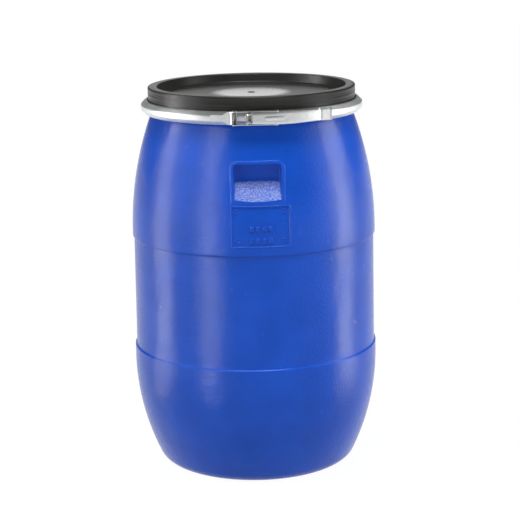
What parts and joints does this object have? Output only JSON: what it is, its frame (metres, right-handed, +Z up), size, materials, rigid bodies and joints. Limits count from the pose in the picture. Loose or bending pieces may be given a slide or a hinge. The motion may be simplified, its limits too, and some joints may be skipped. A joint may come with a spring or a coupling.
{
  "type": "plastic open head drum",
  "caption": "Barrel shaped plastic drum with removable lid, gasket and a lever locking ring; hand grip pockets front and back.",
  "frame": {"origin": "centre of the base on the floor", "axes": "+Z up along the drum's axis; the latch and data panel face -Y"},
  "size_m": [0.4468, 0.4466, 0.6965],
  "materials": {
    "blue_plastic": "moulded, soft gloss, fine orange peel",
    "black_plastic": "moulded, satin",
    "seal_rubber": "matt foam rubber",
    "galvanised_steel": "galvanised sheet",
    "plated_steel": "zinc plated"
  },
  "bodies": {
    "drum": {"drum_body": "blue_plastic"},
    "lid": {"lid": "black_plastic", "gasket": "seal_rubber"},
    "ring": {"clamp_band": "galvanised_steel", "pivot_bracket": "galvanised_steel", "pivot_rivet_1": "plated_steel", "pivot_rivet_2": "plated_steel", "pivot_pin": "plated_steel"},
    "ring_tail": {"anchor_bracket": "galvanised_steel", "anchor_rivet_1": "plated_steel", "anchor_rivet_2": "plated_steel"},
    "lever": {"lever": "galvanised_steel"},
    "link": {"link_plate_upper": "galvanised_steel", "link_plate_lower": "galvanised_steel", "link_pin": "plated_steel", "anchor_pin": "plated_steel"}
  },
  "joints": [
    {"name": "lid_lift", "type": "slide", "parent": "drum", "child": "lid", "axis": [0, 0, 1], "range_m": [0, 0.3]},
    {"name": "ring_lift", "type": "slide", "parent": "lid", "child": "ring", "axis": [0, 0, 1], "range_m": [0, 0.12]},
    {"name": "ring_flex", "type": "hinge", "parent": "ring", "child": "ring_tail", "pos_m": [0, 0.199, 0.661], "axis": [0, 0, -1], "range_deg": [0, 9], "deforming": ["clamp_band"]},
    {"name": "lever_swing", "type": "hinge", "parent": "ring", "child": "lever", "pos_m": [-0.01222, -0.20564, 0.661], "axis": [0, 0, -1], "range_deg": [0, 140]},
    {"name": "link_swing", "type": "hinge", "parent": "lever", "child": "link", "pos_m": [0.0334, -0.20175, 0.661], "axis": [0, 0, -1], "range_deg": [-100, 0]}
  ],
  "couplings": [
    {"joint": "ring_flex", "follows": "lever_swing", "ratio": 0.063071},
    {"joint": "link_swing", "follows": "lever_swing", "ratio": -0.70617}
  ]
}
